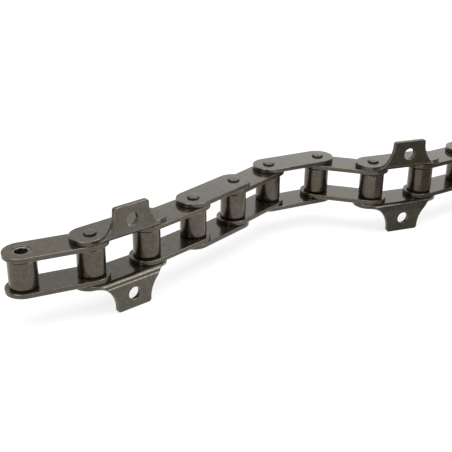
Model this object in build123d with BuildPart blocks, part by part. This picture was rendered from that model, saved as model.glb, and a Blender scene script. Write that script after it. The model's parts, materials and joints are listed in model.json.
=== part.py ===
from build123d import *

import os
from math import cos, radians, sin

# Run of agricultural roller conveyor chain with bent attachment tabs.
#
# Eleven pitches: six inner links (two plates pressed on two bushes, a loose roller on
# each bush) joined by five outer links (two plates riveted on two pins). Two of the
# outer links carry attachment plates, whose near edge is bent square and drilled.
#
# Millimetres. The row runs along +X with the pins upright along +Z. The origin is the
# centre of the first bush's bore, at mid-width of the chain.

# --- driving dimensions -------------------------------------------------------------

PITCH = 41.4  # pin centre to pin centre
INNER_WIDTH = 20.2  # between the two inner plates
PLATE_THICKNESS = 3.1
PLATE_HEIGHT = 23.1

PIN_DIAMETER = 8.0
HEAD_OVERHANG = 0.3  # riveted head beyond the pin's own radius
HEAD_HEIGHT = 1.3  # head above the outer plate
HEAD_CHAMFER = 0.6  # round the top of the head

BUSH_WALL = 1.9
BUSH_MOUTH = 0.45  # chamfer at each end of the bush's bore
BUSH_INSET = 0.4  # bush's end below the face of the plate it is pressed in

ROLLER_DIAMETER = 17.8
ROLLER_EDGE = 1.0  # chamfer on the roller's rims

TAB_WIDTH = 25.2
TAB_RISE = 18.6  # tab's end above the outer plate's face
TAB_CORNER = 2.0
TAB_STRAIGHT = 0.6  # straight side between the tab's corner and its flare
TAB_HOLE_DIAMETER = 8.5
TAB_HOLE_RISE = 8.7  # hole centre above the outer plate's face
TAB_REACH = 3.7  # tab's outer face beyond the plate's edge
END_OVERHANG = 1.4  # each end of an attachment plate beyond a plain plate's
BEND_RADIUS = 2.4  # inside of the bend
ROOT_PAST_PIN = 6.2  # tab's root beyond the pin centre, along the plate

# named clearances
PIN_CLEARANCE = 0.08  # radial, pin in bush
ROLLER_CLEARANCE = 0.08  # radial, bush in roller
ROLLER_SIDE_PLAY = 0.5  # each side, roller at mid-width to inner plate
ROLLER_REST_GAP = 0.1  # under a roller that has slid down its bush
LINK_SIDE_PLAY = 0.25  # each side, inner plate to outer plate

# how the run lies: the heading of each link in degrees, inner and outer in turn
LINK_HEADINGS = (-7.3, 9.0, 14.6, 17.8, 19.5, -5.7, -46.8, -11.9, 0.9, 4.2, 1.7)
ATTACHMENT_LINKS = (2, 8)  # links, counted from 1, whose plates carry tabs

# --- sizes that follow ---------------------------------------------------------------

PIN_RADIUS = PIN_DIAMETER / 2
HEAD_RADIUS = PIN_RADIUS + HEAD_OVERHANG
BUSH_BORE_RADIUS = PIN_RADIUS + PIN_CLEARANCE
BUSH_RADIUS = BUSH_BORE_RADIUS + BUSH_WALL
ROLLER_BORE_RADIUS = BUSH_RADIUS + ROLLER_CLEARANCE
PLATE_RADIUS = PLATE_HEIGHT / 2

INNER_PLATE_FOOT = INNER_WIDTH / 2
INNER_PLATE_FACE = INNER_PLATE_FOOT + PLATE_THICKNESS
BUSH_END = INNER_PLATE_FACE - BUSH_INSET
OUTER_PLATE_FOOT = INNER_PLATE_FACE + LINK_SIDE_PLAY
OUTER_PLATE_FACE = OUTER_PLATE_FOOT + PLATE_THICKNESS
ROLLER_HALF_LENGTH = INNER_PLATE_FOOT - ROLLER_SIDE_PLAY
ROLLER_DROP = ROLLER_SIDE_PLAY - ROLLER_REST_GAP

TAB_OUTSIDE = PLATE_RADIUS + TAB_REACH
TAB_INSIDE = TAB_OUTSIDE - PLATE_THICKNESS
BEND_START = TAB_INSIDE - BEND_RADIUS
BEND_TOP = OUTER_PLATE_FACE + BEND_RADIUS
TAB_END = OUTER_PLATE_FACE + TAB_RISE
ROOT_HALF = PITCH / 2 + ROOT_PAST_PIN


# --- where things sit ----------------------------------------------------------------


def chain_stations():
    """Pin centres, one pitch apart along the links' headings, starting at the origin."""
    stations = [Vector(0, 0, 0)]
    for heading in LINK_HEADINGS:
        step = Vector(cos(radians(heading)), sin(radians(heading)), 0) * PITCH
        stations.append(stations[-1] + step)
    return stations


def upper_seat(origin, heading):
    """Plane at mid-width, x along the link, z up."""
    along = Vector(cos(radians(heading)), sin(radians(heading)), 0)
    return Plane(origin=origin, x_dir=along, z_dir=(0, 0, 1))


def lower_seat(origin, heading):
    """The upper seat turned half a turn about its y axis, so that its z points down."""
    seat = upper_seat(origin, heading)
    return Plane(origin=origin, x_dir=-seat.x_dir, z_dir=-seat.z_dir)


# --- the pieces ----------------------------------------------------------------------


def plate_blank(hole_radius, overhang=0):
    """Round-ended plate outline with its two holes, for the sketch it is called in."""
    SlotCenterToCenter(PITCH + 2 * overhang, PLATE_HEIGHT)
    with Locations((-PITCH / 2, 0), (PITCH / 2, 0)):
        Circle(hole_radius, mode=Mode.SUBTRACT)


def inner_plate(seat):
    """Plate pressed on the ends of two bushes."""
    with BuildPart() as plate:
        with BuildSketch(seat.offset(INNER_PLATE_FOOT)):
            plate_blank(BUSH_RADIUS)
        extrude(amount=PLATE_THICKNESS)
    return plate.part


def outer_plate(seat):
    """Plate riveted on the ends of two pins."""
    with BuildPart() as plate:
        with BuildSketch(seat.offset(OUTER_PLATE_FOOT)):
            plate_blank(PIN_RADIUS)
        extrude(amount=PLATE_THICKNESS)
    return plate.part


def tab_outline():
    """Front of the tab: straight sides, flared in one arc each to the plate's round ends."""
    half = TAB_WIDTH / 2
    flare_top = TAB_END - TAB_CORNER - TAB_STRAIGHT
    with BuildLine() as outline:
        foot = Line((-ROOT_HALF, OUTER_PLATE_FOOT), (ROOT_HALF, OUTER_PLATE_FOOT))
        right = TangentArc((half, flare_top), foot @ 1, tangent=(0, -1))
        left = TangentArc((-half, flare_top), foot @ 0, tangent=(0, -1))
        Polyline(right @ 0, (half, TAB_END), (-half, TAB_END), left @ 0)
        tips = outline.vertices().group_by(Axis.Y)[-1]
        fillet(tips, TAB_CORNER)
    make_face(outline.edges())


def bent_section():
    """Section across the plate: flat, quarter bend and tab at one thickness."""
    with BuildLine() as section:
        Polyline(
            (-BEND_START, OUTER_PLATE_FACE),
            (PLATE_RADIUS, OUTER_PLATE_FACE),
            (PLATE_RADIUS, OUTER_PLATE_FOOT),
            (-BEND_START, OUTER_PLATE_FOOT),
        )
        outside = BEND_RADIUS + PLATE_THICKNESS
        CenterArc((-BEND_START, BEND_TOP), outside, 180, 90)
        Polyline(
            (-TAB_OUTSIDE, BEND_TOP),
            (-TAB_OUTSIDE, TAB_END),
            (-TAB_INSIDE, TAB_END),
            (-TAB_INSIDE, BEND_TOP),
        )
        CenterArc((-BEND_START, BEND_TOP), BEND_RADIUS, 180, 90)
    make_face(section.edges())


def attachment_plate(seat):
    """Outer plate with its near edge bent square into a drilled, flared tab."""
    front = Plane(origin=seat.origin, x_dir=seat.x_dir, z_dir=-seat.y_dir)
    side = Plane(origin=seat.origin, x_dir=seat.y_dir, z_dir=seat.x_dir)
    with BuildPart() as plate:
        with BuildSketch(seat.offset(OUTER_PLATE_FOOT)):
            plate_blank(PIN_RADIUS, END_OVERHANG)
        extrude(amount=PLATE_THICKNESS)
        with BuildSketch(front.offset(BEND_START)):
            tab_outline()
        extrude(amount=TAB_OUTSIDE - BEND_START)
        with BuildSketch(side):
            bent_section()
        extrude(amount=PITCH / 2 + END_OVERHANG + PLATE_RADIUS, both=True, mode=Mode.INTERSECT)
        with BuildSketch(front.offset(TAB_OUTSIDE)):
            with Locations((0, OUTER_PLATE_FACE + TAB_HOLE_RISE)):
                Circle(TAB_HOLE_DIAMETER / 2)
        extrude(amount=-PLATE_THICKNESS, mode=Mode.SUBTRACT)
    return plate.part


def bush(seat):
    """Plain bush, its ends just inside the faces of the inner plates it is pressed in."""
    with BuildPart() as sleeve:
        with BuildSketch(seat):
            Circle(BUSH_RADIUS)
            Circle(BUSH_BORE_RADIUS, mode=Mode.SUBTRACT)
        extrude(amount=BUSH_END, both=True)
        mouths = sleeve.edges().filter_by(GeomType.CIRCLE).group_by(SortBy.RADIUS)[0]
        chamfer(mouths, BUSH_MOUTH)
    return sleeve.part


def roller(seat):
    """Loose roller that turns on a bush, its rims chamfered, resting near the lower plate."""
    with BuildPart() as drum:
        with BuildSketch(seat.offset(-ROLLER_DROP)):
            Circle(ROLLER_DIAMETER / 2)
            Circle(ROLLER_BORE_RADIUS, mode=Mode.SUBTRACT)
        extrude(amount=ROLLER_HALF_LENGTH, both=True)
        rims = drum.edges().filter_by(GeomType.CIRCLE).group_by(SortBy.RADIUS)[-1]
        chamfer(rims, ROLLER_EDGE)
    return drum.part


def pin(seat):
    """Pin through a bush and both outer plates, riveted over at each end."""
    with BuildPart() as rivet:
        with BuildSketch(seat):
            Circle(PIN_RADIUS)
        extrude(amount=OUTER_PLATE_FACE, both=True)
        for side in (1, -1):
            with BuildSketch(seat.offset(side * OUTER_PLATE_FACE)):
                Circle(HEAD_RADIUS)
            extrude(amount=side * HEAD_HEIGHT)
        ends = rivet.edges().filter_by(GeomType.CIRCLE)
        tips = ends.group_by(Axis.Z)[0] + ends.group_by(Axis.Z)[-1]
        chamfer(tips, HEAD_CHAMFER)
    return rivet.part


# --- the run of chain ----------------------------------------------------------------


def save(piece, name):
    """Label a finished piece and write it to its own file."""
    piece.label = name
    export_step(piece, f"parts/{name}.step")


def save_plates(link, centre, heading):
    """The upper and lower plate of one link, inner, plain outer or attachment."""
    number = (link + 1) // 2
    if link % 2:
        kind, make = "inner_plate", inner_plate
    elif link in ATTACHMENT_LINKS:
        kind, make = "attachment_plate", attachment_plate
    else:
        kind, make = "outer_plate", outer_plate
    save(make(upper_seat(centre, heading)), f"{kind}_{number}_upper")
    save(make(lower_seat(centre, heading)), f"{kind}_{number}_lower")


def save_joint_pieces(station, centre, heading, has_pin):
    """The bush and roller at one station, and the pin where two links meet."""
    seat = upper_seat(centre, heading)
    save(bush(seat), f"bush_{station:02}")
    save(roller(seat), f"roller_{station:02}")
    if has_pin:
        save(pin(seat), f"pin_{station:02}")


os.makedirs("parts", exist_ok=True)
STATIONS = chain_stations()

for link, heading in enumerate(LINK_HEADINGS, start=1):
    centre = (STATIONS[link - 1] + STATIONS[link]) * 0.5
    save_plates(link, centre, heading)

for station, centre in enumerate(STATIONS, start=1):
    at_end = station in (1, len(STATIONS))
    heading = LINK_HEADINGS[min(station, len(LINK_HEADINGS)) - 1]
    save_joint_pieces(station, centre, heading, has_pin=not at_end)
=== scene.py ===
# %% [markdown]
# # Steel roller conveyor chain
#
# This is a run of chain for a farm conveyor: thick side plates, loose rollers between them,
# and here and there a link whose plates are bent square into drilled tabs. The engineering
# model gives every piece its place and size, in metres. Each step below dresses one kind of
# piece: it says what the real thing is, how it could be modelled, and why this way was chosen.
#
# The first cell loads the engineering model and keeps its outer box, which is printed at the end.

import json
from math import acos, atan2, ceil, cos, hypot, pi, radians, sin

import bmesh
import bpy
from mathutils import Matrix, Vector


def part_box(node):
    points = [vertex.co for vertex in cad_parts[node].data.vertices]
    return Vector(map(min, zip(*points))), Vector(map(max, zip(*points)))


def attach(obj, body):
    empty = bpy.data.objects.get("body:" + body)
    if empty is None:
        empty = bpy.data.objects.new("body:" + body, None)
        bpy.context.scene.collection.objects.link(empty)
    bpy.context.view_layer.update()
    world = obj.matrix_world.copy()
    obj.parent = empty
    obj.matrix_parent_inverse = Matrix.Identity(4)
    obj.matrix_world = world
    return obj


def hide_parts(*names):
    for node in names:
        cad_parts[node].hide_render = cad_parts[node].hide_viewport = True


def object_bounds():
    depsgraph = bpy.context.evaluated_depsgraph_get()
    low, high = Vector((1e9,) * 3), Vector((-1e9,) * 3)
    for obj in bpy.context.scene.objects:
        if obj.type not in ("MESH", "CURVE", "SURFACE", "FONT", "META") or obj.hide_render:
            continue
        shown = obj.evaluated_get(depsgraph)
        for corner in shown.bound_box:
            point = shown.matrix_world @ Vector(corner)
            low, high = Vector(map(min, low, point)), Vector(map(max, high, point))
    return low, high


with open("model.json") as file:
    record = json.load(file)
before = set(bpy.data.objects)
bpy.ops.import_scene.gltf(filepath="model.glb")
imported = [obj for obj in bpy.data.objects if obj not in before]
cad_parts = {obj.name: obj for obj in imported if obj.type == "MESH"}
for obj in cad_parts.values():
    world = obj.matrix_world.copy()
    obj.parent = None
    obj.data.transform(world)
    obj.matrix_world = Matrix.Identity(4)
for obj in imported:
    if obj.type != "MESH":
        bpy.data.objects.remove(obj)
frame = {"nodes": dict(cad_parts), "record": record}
cad_box = [list(corner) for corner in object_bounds()]
print("pieces in the engineering model:", len(frame["nodes"]))

# %% [markdown]
# ## Where everything sits
#
# A chain is a string of pin centres, one pitch apart. Every bush stands on one of them, so the
# middle of each bush's box gives the whole string, and two neighbours give a link's heading.
# Reading them beats typing them in: if the engineering model changes, the looks follow.

# %% Pin centres and link headings
MM = 0.001


def middle(node):
    """Middle of a node's box, at mid-width of the chain."""
    low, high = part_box(node)
    return Vector(((low.x + high.x) / 2, (low.y + high.y) / 2, 0))


bush_names = sorted(name for name in frame["nodes"] if name.startswith("bush_"))
stations = [middle(name) for name in bush_names]
links = list(zip(stations, stations[1:]))
PITCH = (stations[1] - stations[0]).length
print(f"{len(links)} links, pitch {PITCH / MM:.2f} mm")


def link_place(link):
    """Matrix that carries a piece modelled at the origin, along x, to link number link."""
    start, end = links[link - 1]
    heading = atan2(end.y - start.y, end.x - start.x)
    return Matrix.Translation((start + end) / 2) @ Matrix.Rotation(heading, 4, "Z")


# %% [markdown]
# The sizes come from the same boxes, and the bores from the record's mounts. A round-ended plate
# that lies at an angle has a box as deep as its own height plus the rise of its pitch, so its
# height is that depth less the rise.

# %% Sizes of the standard pieces
PIN_CLEARANCE = 0.08 * MM
ROLLER_CLEARANCE = 0.08 * MM


def levels(node):
    """Lowest and highest height of a node."""
    low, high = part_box(node)
    return low.z, high.z


def across(node):
    """Diameter of a round upright node."""
    low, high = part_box(node)
    return high.x - low.x


def mount(name):
    """Place and bore radius of a mount that the record states."""
    found = next(each for each in frame["record"]["mounts"] if each["name"] == name)
    return Vector(found["pos_m"]), found["dims"]["r_mm"] * MM


INNER_FOOT, INNER_FACE = levels("inner_plate_1_upper")
OUTER_FOOT, OUTER_FACE = levels("outer_plate_2_upper")
PLATE_THICKNESS = INNER_FACE - INNER_FOOT
plate_low, plate_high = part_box("inner_plate_1_upper")
PLATE_HEIGHT = plate_high.y - plate_low.y - abs(stations[1].y - stations[0].y)
PLATE_RADIUS = PLATE_HEIGHT / 2
BUSH_RADIUS = across("bush_01") / 2
BUSH_END = levels("bush_01")[1]
BUSH_BORE = mount("start_bore")[1]
ROLLER_RADIUS = across("roller_01") / 2
ROLLER_FOOT, ROLLER_TOP = levels("roller_01")
ROLLER_BORE = BUSH_RADIUS + ROLLER_CLEARANCE
HEAD_RADIUS = across("pin_02") / 2
PIN_RADIUS = BUSH_BORE - PIN_CLEARANCE
PIN_END = levels("pin_02")[1]
for label, size in (("plate height", PLATE_HEIGHT), ("roller", 2 * ROLLER_RADIUS)):
    print(f"{label} {size / MM:.2f} mm")

# %% [markdown]
# ## Camera
#
# The camera stands in front of the open left end, a little above the chain, and looks along it,
# so the links run away from the near left to the far right. Turning it in three steps, heading,
# then tilt, then a slight roll, is easier to read than one rotation in three angles at once.

# %% Camera
CAMERA_PLACE = Vector((-0.1375, -0.4404, 0.2370))
CAMERA_HEADING = radians(32.27)
CAMERA_TILT = radians(24.83)
CAMERA_ROLL = radians(0.89)
FILM_WIDTH = 36
FOCAL_LENGTH = 68.4

lens = bpy.data.cameras.new("camera")
lens.sensor_width = FILM_WIDTH
lens.lens = FOCAL_LENGTH
camera = bpy.data.objects.new("camera", lens)
bpy.context.collection.objects.link(camera)
camera.matrix_world = (
    Matrix.Translation(CAMERA_PLACE)
    @ Matrix.Rotation(-CAMERA_HEADING, 4, "Z")
    @ Matrix.Rotation(pi / 2 - CAMERA_TILT, 4, "X")
    @ Matrix.Rotation(CAMERA_ROLL, 4, "Z")
)
bpy.context.scene.camera = camera
bpy.context.scene.view_settings.view_transform = "Standard"
print(f"camera {CAMERA_PLACE.length:.2f} m from the origin, lens {FOCAL_LENGTH} mm")

# %% [markdown]
# ## Floor
#
# Dark polished steel shows hardly any colour of its own: what is seen in it is the room. So the
# room is the first material of this scene, and it begins with a plain pale floor. A strong lamp
# could make the floor bright, but it would blaze in the steel as well. Here the floor glows
# softly by itself and keeps just enough plain colour to take the chain's shadow.

# %% Floor
FLOOR_SIZE = 60.0


def add_mesh(name, mesh):
    """A new object with that mesh, in the scene."""
    piece = bpy.data.objects.new(name, mesh)
    bpy.context.collection.objects.link(piece)
    return piece


floor_mesh = bpy.data.meshes.new("floor")
half_floor = FLOOR_SIZE / 2
corners = [(x * half_floor, y * half_floor, 0) for x, y in ((-1, -1), (1, -1), (1, 1), (-1, 1))]
floor_mesh.from_pydata(corners, [], [(0, 1, 2, 3)])
floor = add_mesh("floor", floor_mesh)
floor.location.z = cad_box[0][2]
print(f"floor at {floor.location.z / MM:.1f} mm")

# %% [markdown]
# A material is a small graph of nodes, and so is the sky. Written out, each node takes several
# lines, so a few helpers add a node with its settings, join two sockets, do a sum or a product,
# and map one range of values onto another.

# %% Helpers for nodes


def new_material(name):
    """A material whose shader is wired to the output, and its tree of nodes."""
    material = bpy.data.materials.new(name)
    material.use_nodes = True
    return material, material.node_tree


def add_node(tree, kind, **settings):
    """A node of that kind, with its inputs or its own properties set by name."""
    node = tree.nodes.new("ShaderNode" + kind)
    for name, value in settings.items():
        socket = node.inputs.get(name.replace("_", " "))
        if socket is None:
            setattr(node, name, value)
        else:
            socket.default_value = value
    return node


def join(tree, source, target):
    """Wires one socket to another."""
    tree.links.new(source, target)


def combine(tree, operation, first, second):
    """Sum or product of two values, each a number or a socket."""
    node = add_node(tree, "Math", operation=operation)
    for socket, value in zip(node.inputs, (first, second)):
        if isinstance(value, float):
            socket.default_value = value
        else:
            join(tree, value, socket)
    return node.outputs["Value"]


def plus(tree, first, second):
    """Sum of two values."""
    return combine(tree, "ADD", first, second)


def times(tree, first, second):
    """Product of two values."""
    return combine(tree, "MULTIPLY", first, second)


def between(tree, value, low, high, start=0.0, end=1.0, **settings):
    """Maps value from start..end onto low..high."""
    node = add_node(tree, "MapRange", **settings)
    limits = (("From Min", start), ("From Max", end), ("To Min", low), ("To Max", high))
    for name, limit in limits:
        node.inputs[name].default_value = limit
    join(tree, value, node.inputs["Value"])
    return node.outputs["Result"]


# %% Pale floor
FLOOR_COLOUR = (0.25, 0.25, 0.25, 1)
FLOOR_GLOW = 0.78

floor_material, floor_tree = new_material("pale_floor")
floor_shader = floor_tree.nodes["Principled BSDF"]
floor_shader.inputs["Base Color"].default_value = FLOOR_COLOUR
floor_shader.inputs["Roughness"].default_value = 0.9
floor_shader.inputs["Specular IOR Level"].default_value = 0.0
floor_shader.inputs["Emission Color"].default_value = (1, 1, 1, 1)
floor_shader.inputs["Emission Strength"].default_value = FLOOR_GLOW
floor_mesh.materials.append(floor_material)
print("floor glow", FLOOR_GLOW)

# %% [markdown]
# ## Sky
#
# The sky stands for the room's walls and ceiling. It is dim in front, which keeps the upright
# tabs dark, plain all round, a little brighter behind, where the tops of the plates look, and
# soft and strong overhead, where rounded edges look. Panels could do the same, but they have
# edges that would show in the steel. A sky can rise smoothly from one brightness to the next,
# as the view turns towards a direction.

# %% Sky of the studio
DIM_SKY, PLAIN_SKY, BRIGHT_SKY, OVERHEAD_SKY = 0.2, 0.85, 1.25, 3.0
BRIGHT_SIDE = (0.766, 0.643, 0.0)
OVERHEAD = (0.0, 0.0, 1.0)

world = bpy.data.worlds.new("studio")
bpy.context.scene.world = world
world.use_nodes = True
sky_tree = world.node_tree
background = sky_tree.nodes["Background"]
background.inputs["Color"].default_value = (1, 1, 1, 1)
direction = add_node(sky_tree, "TexCoord")


def sky_rise(axis, start, end, height):
    """Brightness that grows from 0 to height as the view turns towards axis."""
    towards = add_node(sky_tree, "VectorMath", operation="DOT_PRODUCT")
    towards.inputs[1].default_value = axis
    join(sky_tree, direction.outputs["Generated"], towards.inputs[0])
    cosine = towards.outputs["Value"]
    return between(sky_tree, cosine, 0, height, start, end, interpolation_type="SMOOTHSTEP")


brightness = DIM_SKY
for axis, start, end, height in (
    (BRIGHT_SIDE, -0.45, 0.15, PLAIN_SKY - DIM_SKY),
    (BRIGHT_SIDE, 0.78, 0.95, BRIGHT_SKY - PLAIN_SKY),
    (OVERHEAD, 0.80, 0.95, OVERHEAD_SKY),
):
    brightness = plus(sky_tree, sky_rise(axis, start, end, height), brightness)
join(sky_tree, brightness, background.inputs["Strength"])
print(f"sky from {DIM_SKY} in front to {BRIGHT_SKY} behind, {OVERHEAD_SKY} more overhead")

# %% [markdown]
# ## Lamps
#
# The bend of a tab is a mirror rolled round a quarter turn, and it squeezes whatever it sees
# into a line. Two strips at the right, one high and one low, draw the two bright lines along the
# lower tabs' bends, and a soft lamp at the left lights the rollers' left sides. Area lamps suit
# this, because the size of the lamp is the width of the line.

# %% Lamps
STRIP_SIZE, STRIP_POWER = (0.4, 0.15), 0.75
LEFT_LAMP_SIZE, LEFT_LAMP_POWER = (0.4, 0.3), 2.0
FRONT_LINK = (stations[1] + stations[2]) / 2


def soft_lamp(name, place, size, power):
    """A wide lamp at place that faces the front attachment link."""
    light = bpy.data.lights.new(name, "AREA")
    light.shape = "RECTANGLE"
    light.size, light.size_y = size
    light.energy = power
    lamp = bpy.data.objects.new(name, light)
    bpy.context.collection.objects.link(lamp)
    lamp.location = place
    lamp.rotation_euler = (FRONT_LINK - Vector(place)).to_track_quat("-Z", "Y").to_euler()
    print(f"{name}: {power} W")


soft_lamp("high_strip", (0.43, -0.225, 0.52), STRIP_SIZE, STRIP_POWER)
soft_lamp("low_strip", (0.483, -0.528, 0.11), STRIP_SIZE, STRIP_POWER)
soft_lamp("left_lamp", (-0.576, -0.224, 0.46), LEFT_LAMP_SIZE, LEFT_LAMP_POWER)

# %% [markdown]
# ## Dark cards
#
# The real chain goes on at the right, and its dark side shows in the two tabs there. Without it
# they mirror the bright room and look twice as light. More chain would do it, but two dark cards
# are simpler, and both are painted shade that is seen only in the steel. The upright one stands
# in for that chain. The one lying just above the floor under the last tabs is a painted shadow.
# They hide from the camera, throw no shadow and take no part in the floor's soft light.

# %% Dark cards
# Colour of both cards: painted shade, seen only in the steel's reflections.
PAINTED_SHADE_COLOUR = (0.37, 0.36, 0.33, 1)
UPRIGHT_START, UPRIGHT_END = (0.260, -0.090), (0.360, -0.025)
UPRIGHT_HEIGHT = 0.12
# The lying card is a painted shadow on the floor under the last tabs, seen only in reflections.
SHADOW_CARD_LEFT, SHADOW_CARD_RIGHT = 0.250, 0.335
SHADOW_CARD_NEAR, SHADOW_CARD_FAR = -0.075, -0.012
SHADOW_CARD_HEIGHT = 0.2 * MM

corners = [(*place, 0) for place in (UPRIGHT_START, UPRIGHT_END)]
corners += [(*place, UPRIGHT_HEIGHT) for place in (UPRIGHT_END, UPRIGHT_START)]
corners += [(x, SHADOW_CARD_NEAR, SHADOW_CARD_HEIGHT) for x in (SHADOW_CARD_LEFT, SHADOW_CARD_RIGHT)]
corners += [(x, SHADOW_CARD_FAR, SHADOW_CARD_HEIGHT) for x in (SHADOW_CARD_RIGHT, SHADOW_CARD_LEFT)]
card_mesh = bpy.data.meshes.new("painted_shade_cards")
card_mesh.from_pydata(corners, [], [(0, 1, 2, 3), (4, 5, 6, 7)])
card_material, card_tree = new_material("painted_shade_card")
card_shader = card_tree.nodes["Principled BSDF"]
card_shader.inputs["Base Color"].default_value = PAINTED_SHADE_COLOUR
card_shader.inputs["Specular IOR Level"].default_value = 0.0
card_mesh.materials.append(card_material)
card = add_mesh("painted_shade_cards", card_mesh)
card.location.z = floor.location.z
card.visible_camera = False
card.visible_diffuse = False
card.visible_shadow = False
print("dark cards:", len(card_mesh.polygons))

# %% [markdown]
# ## Outlines
#
# Plates are punched from strip, so each is an outline with holes, drawn with straight sides and
# true arcs. One helper walks along an arc. It takes its number of points from how far a chord
# may stand off the arc, so small holes and big ends come out equally round.

# %% Arc
CHORD_ERROR = 0.004 * MM


def arc(centre, radius, start, end):
    """Points from angle start to angle end, in degrees, about centre."""
    turn = radians(end - start)
    steps = max(3, ceil(abs(turn) / (2 * acos(1 - CHORD_ERROR / radius))))
    angles = [radians(start) + turn * step / steps for step in range(steps + 1)]
    return [(centre[0] + radius * cos(a), centre[1] + radius * sin(a)) for a in angles]


def hole(centre, radius):
    """A full circle, without its repeated last point."""
    return arc(centre, radius, 0, -360)[:-1]


print("points round a pin hole:", len(hole((0, 0), PIN_RADIUS)))

# %% [markdown]
# ## Side plates
#
# A punched plate has edges that the tool drew in a little, and tumbling rounds them further. A
# curve object makes just that: a flat outline with holes, given a thickness and a round bevel.
# The bevel would swell the outline by its own depth, so the curve is offset inwards by as much.
# The curve is then turned into a mesh, whose rounded rims catch the light as thin bright lines.
# Its fill and its sides don't share points, so they are welded.

# %% Punched plate
EDGE_ROUND = 0.4 * MM
BEVEL_STEPS = 2
SAME_PLACE = 0.001 * MM


def weld(mesh):
    """Joins the points that the curve's fill and sides left doubled."""
    work = bmesh.new()
    work.from_mesh(mesh)
    bmesh.ops.remove_doubles(work, verts=work.verts, dist=SAME_PLACE)
    bmesh.ops.recalc_face_normals(work, faces=work.faces)
    work.to_mesh(mesh)
    work.free()


def punched(name, outline, holes, thickness):
    """Mesh of a plate with that outline, those holes and rounded edges, centred on z = 0."""
    curve = bpy.data.curves.new(name, "CURVE")
    curve.dimensions = "2D"
    curve.fill_mode = "BOTH"
    curve.extrude = thickness / 2 - EDGE_ROUND
    curve.bevel_depth = EDGE_ROUND
    curve.bevel_resolution = BEVEL_STEPS
    curve.offset = -EDGE_ROUND
    for loop in [outline, *holes]:
        spline = curve.splines.new("POLY")
        spline.points.add(len(loop) - 1)
        for point, (x, y) in zip(spline.points, loop):
            point.co = (x, y, 0, 1)
        spline.use_cyclic_u = True
    maker = bpy.data.objects.new(name, curve)
    mesh = bpy.data.meshes.new_from_object(maker)
    bpy.data.objects.remove(maker)
    mesh.name = name
    weld(mesh)
    return mesh


# %% [markdown]
# Every face is marked if it is a rounded rim or an upright wall, and every point keeps its own
# place on the flat plate. The finishes use both, and they stay true when the plate is folded or
# turned.

# %% Marks for the finishes
WALL_RISE, FLAT_RISE = 0.1, 0.95


def mark(mesh):
    """Notes each point's own place, and which faces are rounded rims or upright walls."""
    own = mesh.attributes.new("own", "FLOAT_VECTOR", "POINT")
    for vertex, value in zip(mesh.vertices, own.data):
        value.vector = vertex.co
    rim = mesh.attributes.new("rim", "FLOAT", "FACE")
    wall = mesh.attributes.new("wall", "FLOAT", "FACE")
    for polygon, on_rim, on_wall in zip(mesh.polygons, rim.data, wall.data):
        rise = abs(polygon.normal.z)
        on_rim.value = 1.0 if WALL_RISE < rise < FLAT_RISE else 0.0
        on_wall.value = 1.0 if rise <= WALL_RISE else 0.0


# %% Round-ended plate
HOLE_FIT = 0.02 * MM
LEFT_PIN = (-PITCH / 2, 0)
RIGHT_PIN = (PITCH / 2, 0)


def pin_holes(radius):
    """A hole on each pin centre, a hair wider than what is pressed into it."""
    return [hole(LEFT_PIN, radius + HOLE_FIT), hole(RIGHT_PIN, radius + HOLE_FIT)]


def link_plate(name, hole_radius):
    """Plate with two round ends about the pin centres, and a hole on each."""
    outline = arc(RIGHT_PIN, PLATE_RADIUS, -90, 90) + arc(LEFT_PIN, PLATE_RADIUS, 90, 270)
    mesh = punched(name, outline, pin_holes(hole_radius), PLATE_THICKNESS)
    mark(mesh)
    print(f"{name}: {len(mesh.polygons)} faces")
    return mesh


inner_plate_mesh = link_plate("inner_plate", BUSH_RADIUS)
outer_plate_mesh = link_plate("outer_plate", PIN_RADIUS)

# %% [markdown]
# ## Attachment plates
#
# The shop punches a wider blank and folds its near edge square in a press. Modelling it the same
# way keeps the thickness even all through the bend: draw the flat blank, cut it into narrow
# strips where it will fold, and then roll those strips round the bend's centre by formula.
#
# The blank's ends reach a little further than a plain plate's. How far, and where the tab's hole
# sits, is read from the engineering model, and the flat blank is measured back from the bent one.

# %% Sizes of the flat blank
TAB_WIDTH = 25.2 * MM
TAB_CORNER = 2.0 * MM
TAB_STRAIGHT = 0.6 * MM
BEND_RADIUS = 2.4 * MM

attachment_low, attachment_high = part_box("attachment_plate_1_upper")
heading_cosine = (stations[2].x - stations[1].x) / PITCH
attachment_span = (attachment_high.x - attachment_low.x - PLATE_HEIGHT) / heading_cosine
END_OVERHANG = (attachment_span - PITCH) / 2
tab_link_middle = sum(links[1], Vector()) / 2
hole_place, TAB_HOLE = mount("attachment_1_upper_hole")
TAB_MIDDLE = hypot(hole_place.x - tab_link_middle.x, hole_place.y - tab_link_middle.y)
BEND_MIDDLE_RADIUS = BEND_RADIUS + PLATE_THICKNESS / 2
BEND_START = TAB_MIDDLE - BEND_MIDDLE_RADIUS
BEND_LENGTH = BEND_MIDDLE_RADIUS * pi / 2


def flat_reach(height):
    """How far out on the flat blank a point of the upright tab lies."""
    return BEND_START + BEND_LENGTH + height - OUTER_FACE - BEND_RADIUS


TAB_REACH = flat_reach(attachment_high.z)
HOLE_REACH = flat_reach(hole_place.z)
FLARE_REACH = TAB_REACH - TAB_CORNER - TAB_STRAIGHT
print(f"flat blank reaches {TAB_REACH / MM:.1f} mm out from the pin line")
print(f"its ends reach {END_OVERHANG / MM:.2f} mm further than a plain plate's")

# %% [markdown]
# The blank's flares are single arcs, tangent to the tab's straight sides and to the round ends.
# The radius that does both follows from the distance between the arc's centre and the pin's.

# %% Flat blank with its tab


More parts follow.
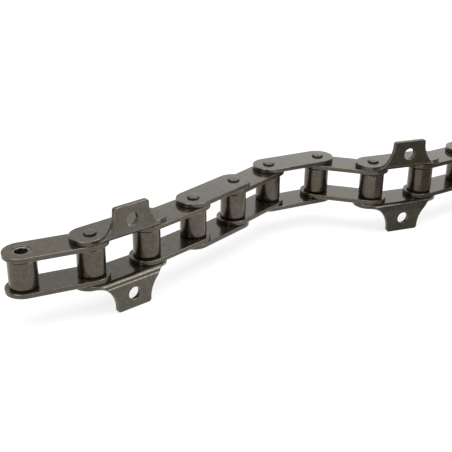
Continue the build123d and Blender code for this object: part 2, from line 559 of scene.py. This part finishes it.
def blank_outline():
    """Anticlockwise outline of the flat blank, tab towards -y."""
    half = TAB_WIDTH / 2
    end = (RIGHT_PIN[0] + END_OVERHANG, 0)
    inset = end[0] - half
    flare = (inset**2 + FLARE_REACH**2 - PLATE_RADIUS**2) / (2 * (PLATE_RADIUS + inset))
    flare_x = half + flare
    lean = 180 / pi * atan2(FLARE_REACH, end[0] - flare_x)
    corner = (half - TAB_CORNER, -TAB_REACH + TAB_CORNER)
    right = arc(corner, TAB_CORNER, -90, 0)
    right += arc((flare_x, -FLARE_REACH), flare, 180, lean)
    right += arc(end, PLATE_RADIUS, lean - 180, 90)
    left = [(-x, y) for x, y in reversed(right)]
    return right + left


print("points round the blank:", len(blank_outline()))

# %% Strips across the fold
FOLD_STRIPS = 14


def cut_strips(mesh):
    """Cuts the blank along lines of constant y all through the bend, so that it can fold."""
    work = bmesh.new()
    work.from_mesh(mesh)
    for step in range(FOLD_STRIPS + 1):
        everything = work.verts[:] + work.edges[:] + work.faces[:]
        cut = (0, -BEND_START - BEND_LENGTH / FOLD_STRIPS * step, 0)
        bmesh.ops.bisect_plane(
            work, geom=everything, dist=SAME_PLACE, plane_co=cut, plane_no=(0, 1, 0)
        )
    work.to_mesh(mesh)
    work.free()


# %% Fold
BEND_CENTRE_RISE = PLATE_THICKNESS / 2 + BEND_RADIUS


def fold_point(point):
    """Where a point of the flat blank goes when the near edge is folded up."""
    reach = -point.y
    turn = (reach - BEND_START) / BEND_MIDDLE_RADIUS
    if turn <= 0:
        return point
    turn = min(turn, pi / 2)
    radius = BEND_CENTRE_RISE - point.z
    past = max(0, reach - BEND_START - BEND_LENGTH)
    y = -(BEND_START + radius * sin(turn))
    z = BEND_CENTRE_RISE - radius * cos(turn) + past
    return Vector((point.x, y, z))


def attachment_plate():
    """Mesh of an outer plate whose near edge is folded up into the tab."""
    holes = [*pin_holes(PIN_RADIUS), hole((0, -HOLE_REACH), TAB_HOLE)]
    mesh = punched("attachment_plate", blank_outline(), holes, PLATE_THICKNESS)
    cut_strips(mesh)
    mark(mesh)
    for vertex in mesh.vertices:
        vertex.co = fold_point(vertex.co)
    print(f"attachment_plate: {len(mesh.polygons)} faces")
    return mesh


attachment_plate_mesh = attachment_plate()

# %% [markdown]
# ## Turned pieces
#
# Bushes, rollers and pins are round, so half a section spun about the axis makes each of them,
# as a lathe does. A screw modifier would spin it too, but a loop of our own closes the section
# on itself and meets in one point on a pin's axis. The section is a list of corners, each with a
# radius, because a turned or drawn part has no knife edges: a bush's mouth is eased and a
# roller's rims are round.

# %% Rounded section
EASE_STEPS = 4


def eased(corners):
    """Points of a section whose corners (radius, height, ease) are rounded by ease."""
    points = []
    count = len(corners)
    for index, (r, z, ease) in enumerate(corners):
        here = Vector((r, z))
        if ease == 0:
            points.append(here)
            continue
        before = Vector(corners[index - 1][:2])
        after = Vector(corners[(index + 1) % count][:2])
        arm_in = (before - here).normalized()
        arm_out = (after - here).normalized()
        half_angle = arm_in.angle(arm_out) / 2
        centre = here + (arm_in + arm_out).normalized() * (ease / sin(half_angle))
        first = here + arm_in * (ease * cos(half_angle) / sin(half_angle)) - centre
        last = here + arm_out * (ease * cos(half_angle) / sin(half_angle)) - centre
        for step in range(EASE_STEPS + 1):
            share = step / EASE_STEPS
            points.append(centre + first.slerp(last, share) * ease)
    return points


# %% Lathe
LATHE_STEPS = 96


def turned(name, corners):
    """Mesh of a closed section spun about the z axis."""
    mesh = bpy.data.meshes.new(name)
    work = bmesh.new()
    turns = [2 * pi * step / LATHE_STEPS for step in range(LATHE_STEPS)]
    rings = []
    for point in eased(corners):
        if point.x < SAME_PLACE:
            rings.append([work.verts.new((0, 0, point.y))] * LATHE_STEPS)
            continue
        rings.append([work.verts.new((point.x * cos(t), point.x * sin(t), point.y)) for t in turns])
    for lower, upper in zip(rings, rings[1:] + rings[:1]):
        for step in range(LATHE_STEPS):
            after = (step + 1) % LATHE_STEPS
            loop = [lower[step], lower[after], upper[after], upper[step]]
            loop = list(dict.fromkeys(loop))
            if len(loop) > 2:
                work.faces.new(loop)
    bmesh.ops.recalc_face_normals(work, faces=work.faces)
    work.to_mesh(mesh)
    work.free()
    mark(mesh)
    print(f"{name}: {len(mesh.polygons)} faces")
    return mesh


# %% [markdown]
# A pin is riveted over at both ends: the tool spreads its end into a low head that leans inwards
# a little and rolls over at the top. A sharp disc would show a hard dark edge, so the head gets
# that taper and a wide rounding.

# %% Bush, roller and pin
BUSH_MOUTH = 0.45 * MM
ROLLER_ROUND = 1.3 * MM
HEAD_ROUND = 0.55 * MM
HEAD_TAPER = 0.6 * MM

bush_mesh = turned("bush", [
    (BUSH_BORE, -BUSH_END, BUSH_MOUTH),
    (BUSH_RADIUS, -BUSH_END, EDGE_ROUND),
    (BUSH_RADIUS, BUSH_END, EDGE_ROUND),
    (BUSH_BORE, BUSH_END, BUSH_MOUTH),
])
roller_mesh = turned("roller", [
    (ROLLER_BORE, ROLLER_FOOT, EDGE_ROUND),
    (ROLLER_RADIUS, ROLLER_FOOT, ROLLER_ROUND),
    (ROLLER_RADIUS, ROLLER_TOP, ROLLER_ROUND),
    (ROLLER_BORE, ROLLER_TOP, EDGE_ROUND),
])
pin_mesh = turned("pin", [
    (0, -PIN_END, 0),
    (HEAD_RADIUS - HEAD_TAPER, -PIN_END, HEAD_ROUND),
    (HEAD_RADIUS, -OUTER_FACE, 0),
    (PIN_RADIUS, -OUTER_FACE, 0),
    (PIN_RADIUS, OUTER_FACE, 0),
    (HEAD_RADIUS, OUTER_FACE, 0),
    (HEAD_RADIUS - HEAD_TAPER, PIN_END, HEAD_ROUND),
    (0, PIN_END, 0),
])

# %% [markdown]
# ## Smooth shading
#
# Rounded edges only read as round if the flat faces stay flat. A weighted normal does that: each
# point's normal leans to the largest face around it, so the bevel carries all of the turn.

# %% Weighted normals
FLAT_WEIGHT = 80


def smooth(piece):
    """Shades the piece smooth, with its flat faces kept flat."""
    for polygon in piece.data.polygons:
        polygon.use_smooth = True
    modifier = piece.modifiers.new("flat_faces", "WEIGHTED_NORMAL")
    modifier.weight = FLAT_WEIGHT
    modifier.keep_sharp = True


# %% [markdown]
# ## Finish
#
# The chain is heat treated and oiled. Its skin is a thin dark oxide, so it is neither bare metal
# nor paint: it mirrors like metal, but weakly, and warm brown and cool grey patches drift across
# it. On top lie the grain of the strip or of the lathe, mottles and fine specks of soot, and a
# film of oil. Edges have lost some of the skin, and their lighter colour is also a painted
# highlight: it stands in for the thin bright lines that rounded rims reflect. An image would
# repeat and would need unwrapping, so all of this is layered noise, read at each point's own
# place on its piece.

# %% Layers of noise
DRIFT_SCALE, MOTTLE_SCALE, LINE_SCALE, SPECKLE_SCALE = 55, 240, 420, 1000


def noise(tree, place, scale, detail, stretch=(1, 1, 1)):
    """Fractal noise on the piece's own place, stretched along its axes."""
    mapping = add_node(tree, "Mapping")
    mapping.inputs["Scale"].default_value = stretch
    join(tree, place, mapping.inputs["Vector"])
    texture = add_node(tree, "TexNoise", Scale=scale, Detail=detail, Roughness=0.6)
    join(tree, mapping.outputs["Vector"], texture.inputs["Vector"])
    return texture.outputs["Fac"]


def skin_layers(tree, grain):
    """The piece's marks and the layers of noise that every finish is mixed from."""
    own = add_node(tree, "Attribute", attribute_name="own").outputs["Vector"]
    return {
        "own": own,
        "rim": add_node(tree, "Attribute", attribute_name="rim").outputs["Fac"],
        "wall": add_node(tree, "Attribute", attribute_name="wall").outputs["Fac"],
        "drift": between(tree, noise(tree, own, DRIFT_SCALE, 4), 0, 1, 0.35, 0.65),
        "mottle": noise(tree, own, MOTTLE_SCALE, 3),
        "speckle": noise(tree, own, SPECKLE_SCALE, 2),
        "lines": noise(tree, own, LINE_SCALE, 4, grain),
    }


# %% Colour of the skin
SOOT_SHARE = (0.62, 0.58, 0.52)
MOTTLE_SOOT, SPECKLE_SOOT = 0.45, 0.8
# Lighter colour of the rounded rims: worn steel, and also a painted highlight for the bright lines
# that rims reflect.
WORN_AND_HIGHLIGHT = (0.30, 0.285, 0.255)


def mix_colour(tree, factor, first, second):
    """Blends two colours, each a tuple or a socket."""
    node = add_node(tree, "Mix", data_type="RGBA")
    join(tree, factor, node.inputs["Factor"])
    for socket, colour in ((node.inputs[6], first), (node.inputs[7], second)):
        if isinstance(colour, tuple):
            socket.default_value = (*colour, 1)
        else:
            join(tree, colour, socket)
    return node.outputs[2]


def skin_colour(tree, layers, warm, cool, soot, wear_and_highlight):
    """Warm and cool oxide with soot in it, lighter on the rims, partly from wear and partly as a
    painted highlight.
    """
    skin = mix_colour(tree, layers["drift"], warm, cool)
    mottled = between(tree, layers["mottle"], MOTTLE_SOOT, 0, 0.35, 0.55)
    skin = mix_colour(tree, mottled, skin, soot)
    speckled = between(tree, layers["speckle"], SPECKLE_SOOT, 0, 0.35, 0.6)
    skin = mix_colour(tree, speckled, skin, soot)
    # Rims are lightened here: partly real wear, partly a painted highlight.
    rim_wear_and_highlight = between(tree, layers["mottle"], 0.4 * wear_and_highlight, wear_and_highlight, 0.35, 0.65)
    return mix_colour(tree, times(tree, layers["rim"], rim_wear_and_highlight), skin, WORN_AND_HIGHLIGHT)


# %% Gloss and relief of the skin
LINE_GLOSS = 0.05
GLOSSIER, DULLER = 0.03, 0.05


def skin_gloss(tree, layers, roughness):
    """Roughness that follows the grain lines and the mottles."""
    lines = between(tree, layers["lines"], -LINE_GLOSS, LINE_GLOSS, 0.3, 0.7)
    low, high = roughness - GLOSSIER, roughness + DULLER
    return plus(tree, lines, between(tree, layers["mottle"], low, high, 0.3, 0.7))


def skin_relief(tree, layers):
    """Height of the grain lines and the mottles."""
    return plus(tree, layers["lines"], between(tree, layers["mottle"], 0, 1.5, 0.3, 0.7))


# %% [markdown]
# A punched edge is darker than the faces, and it has two zones: the punch shears the first part
# smooth and then tears the rest. The tear is too fine to model, so it is a darker, duller and
# rougher band on the lower part of the upright walls.

# %% Punched edges
EDGE_SOOT, TORN_SOOT = 0.3, 0.45
TORN_DULL, TORN_RELIEF = 0.16, 3.0


def torn_part(tree, layers):
    """1 on the torn part of an upright wall, 0 elsewhere."""
    place = add_node(tree, "SeparateXYZ")
    join(tree, layers["own"], place.inputs[0])
    low_part = between(tree, place.outputs["Z"], 1, 0, 0.1 * MM, 0.4 * MM)
    return times(tree, layers["wall"], low_part)


def punched_edge(tree, layers, soot, skin, gloss, height):
    """The same colour, roughness and height, changed on punched edges."""
    torn = torn_part(tree, layers)
    skin = mix_colour(tree, times(tree, layers["wall"], EDGE_SOOT), skin, soot)
    skin = mix_colour(tree, times(tree, torn, TORN_SOOT), skin, soot)
    gloss = plus(tree, gloss, times(tree, torn, TORN_DULL))
    rough = times(tree, layers["speckle"], TORN_RELIEF)
    return skin, gloss, plus(tree, height, times(tree, torn, rough))


# %% Oxide steel
METAL = 0.87
OIL_FILM, OIL_ROUGHNESS = 0.05, 0.15
GRAIN_DEPTH = 0.02 * MM


def oxide_steel(name, warm, cool, roughness, grain, relief, wear_and_highlight, cut_edges=False):
    """Heat-treated, oiled steel, its grain stretched by grain."""
    material, tree = new_material(name)
    shader = tree.nodes["Principled BSDF"]
    shader.inputs["Metallic"].default_value = METAL
    shader.inputs["Coat Weight"].default_value = OIL_FILM
    shader.inputs["Coat Roughness"].default_value = OIL_ROUGHNESS
    layers = skin_layers(tree, grain)
    soot = tuple(share * part for share, part in zip(SOOT_SHARE, warm))
    skin = skin_colour(tree, layers, warm, cool, soot, wear_and_highlight)
    gloss = skin_gloss(tree, layers, roughness)
    height = skin_relief(tree, layers)
    if cut_edges:
        skin, gloss, height = punched_edge(tree, layers, soot, skin, gloss, height)
    bump = add_node(tree, "Bump", Strength=relief, Distance=GRAIN_DEPTH)
    join(tree, height, bump.inputs["Height"])
    join(tree, skin, shader.inputs["Base Color"])
    join(tree, gloss, shader.inputs["Roughness"])
    join(tree, bump.outputs["Normal"], shader.inputs["Normal"])
    return material


# %% [markdown]
# Six recipes share that one skin. Plates have grain along the strip and punched edges. Bushes are
# lighter, with grain round their axis. Rollers are browner, with faint upright grain, as on drawn
# tube. Pins are duller, as if the riveting tool had roughened their heads.

# %% Six finishes
ALONG_STRIP = (0.1, 2.0, 1.0)
ROUND_AXIS = (0.2, 0.2, 2.0)
ALONG_AXIS = (1.5, 1.5, 0.15)
PLATE_SKIN = dict(roughness=0.15, grain=ALONG_STRIP, relief=0.15, wear_and_highlight=0.5, cut_edges=True)
RECIPES = {
    "inner_plate_steel": dict(
        warm=(0.124, 0.109, 0.081), cool=(0.123, 0.115, 0.101), **PLATE_SKIN
    ),
    "outer_plate_steel": dict(
        warm=(0.123, 0.113, 0.090), cool=(0.127, 0.121, 0.108), **PLATE_SKIN
    ),
    # The attachment plates' steel is a little darker than the outer plates': painted shade, so that
    # the upright tabs, which mirror the bright room, do not look too light.
    "attachment_plate_steel": dict(
        warm=(0.110, 0.101, 0.079), cool=(0.113, 0.108, 0.093), **PLATE_SKIN
    ),
    "bush_steel": dict(
        warm=(0.178, 0.156, 0.124), cool=(0.215, 0.196, 0.163),
        roughness=0.18, grain=ROUND_AXIS, relief=0.2, wear_and_highlight=0.3,
    ),
    "roller_steel": dict(
        warm=(0.104, 0.087, 0.065), cool=(0.115, 0.104, 0.091),
        roughness=0.22, grain=ALONG_AXIS, relief=0.12, wear_and_highlight=0.1,
    ),
    "pin_steel": dict(
        warm=(0.112, 0.096, 0.072), cool=(0.128, 0.115, 0.093),
        roughness=0.30, grain=ROUND_AXIS, relief=0.3, wear_and_highlight=0.1,
    ),
}
finishes = {name: oxide_steel(name, **recipe) for name, recipe in RECIPES.items()}
print("finishes:", ", ".join(finishes))

# %% [markdown]
# ## Put the chain together
#
# Six meshes make all the pieces. Each copy gets its own shift of grain, so no two look alike,
# and is carried to its place. It rides with the body that the engineering model put it on, and
# stands for its node. Copies are used, not instances, because each keeps its own grain.

# %% Dress one piece
GRAIN_STEP = Vector((0.173, 0.291, 0))
body_of = {}
for body, nodes in frame["record"]["behaviour"]["bodies"].items():
    for node in nodes:
        body_of[node] = body
slot_of = {part["node"]: part["material_slot"] for part in frame["record"]["subparts"]}
dressed = []


def dress(node, mesh, place):
    """Adds a dressed piece that stands for a node of the engineering model."""
    own_mesh = mesh.copy()
    shift = GRAIN_STEP * len(dressed)
    for value in own_mesh.attributes["own"].data:
        value.vector = Vector(value.vector) + shift
    own_mesh.transform(place)
    own_mesh.materials.append(finishes[slot_of[node]])
    piece = add_mesh(node + ".dressed", own_mesh)
    smooth(piece)
    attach(piece, body_of[node])
    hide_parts(node)
    dressed.append(piece)


# %% Plates of every link
HALF_TURN = Matrix.Rotation(pi, 4, "Y")
INNER_MIDDLE = (INNER_FOOT + INNER_FACE) / 2
OUTER_MIDDLE = (OUTER_FOOT + OUTER_FACE) / 2


def plate_kind(link):
    """Name, mesh and height of the plates on a link, counted from 1."""
    number = (link + 1) // 2
    if link % 2 == 1:
        return f"inner_plate_{number}", inner_plate_mesh, INNER_MIDDLE
    if f"outer_plate_{number}_upper" in body_of:
        return f"outer_plate_{number}", outer_plate_mesh, OUTER_MIDDLE
    return f"attachment_plate_{number}", attachment_plate_mesh, OUTER_MIDDLE


for link in range(1, len(links) + 1):
    name, mesh, level = plate_kind(link)
    lift = Matrix.Translation((0, 0, level))
    dress(f"{name}_upper", mesh, link_place(link) @ lift)
    dress(f"{name}_lower", mesh, link_place(link) @ HALF_TURN @ lift)
print(len(dressed), "plates dressed")

# %% Round pieces at every pin centre
for number, centre in enumerate(stations, start=1):
    place = Matrix.Translation(centre)
    dress(f"bush_{number:02}", bush_mesh, place)
    dress(f"roller_{number:02}", roller_mesh, place)
    if f"pin_{number:02}" in body_of:
        dress(f"pin_{number:02}", pin_mesh, place)
print(len(dressed), "pieces dressed")

# %% [markdown]
# ## Size of the engineering model
#
# The looks must not change the size. The engineering model's box, kept at the start, is printed
# here.

# %% Size of the engineering model
print("engineering box", cad_box)
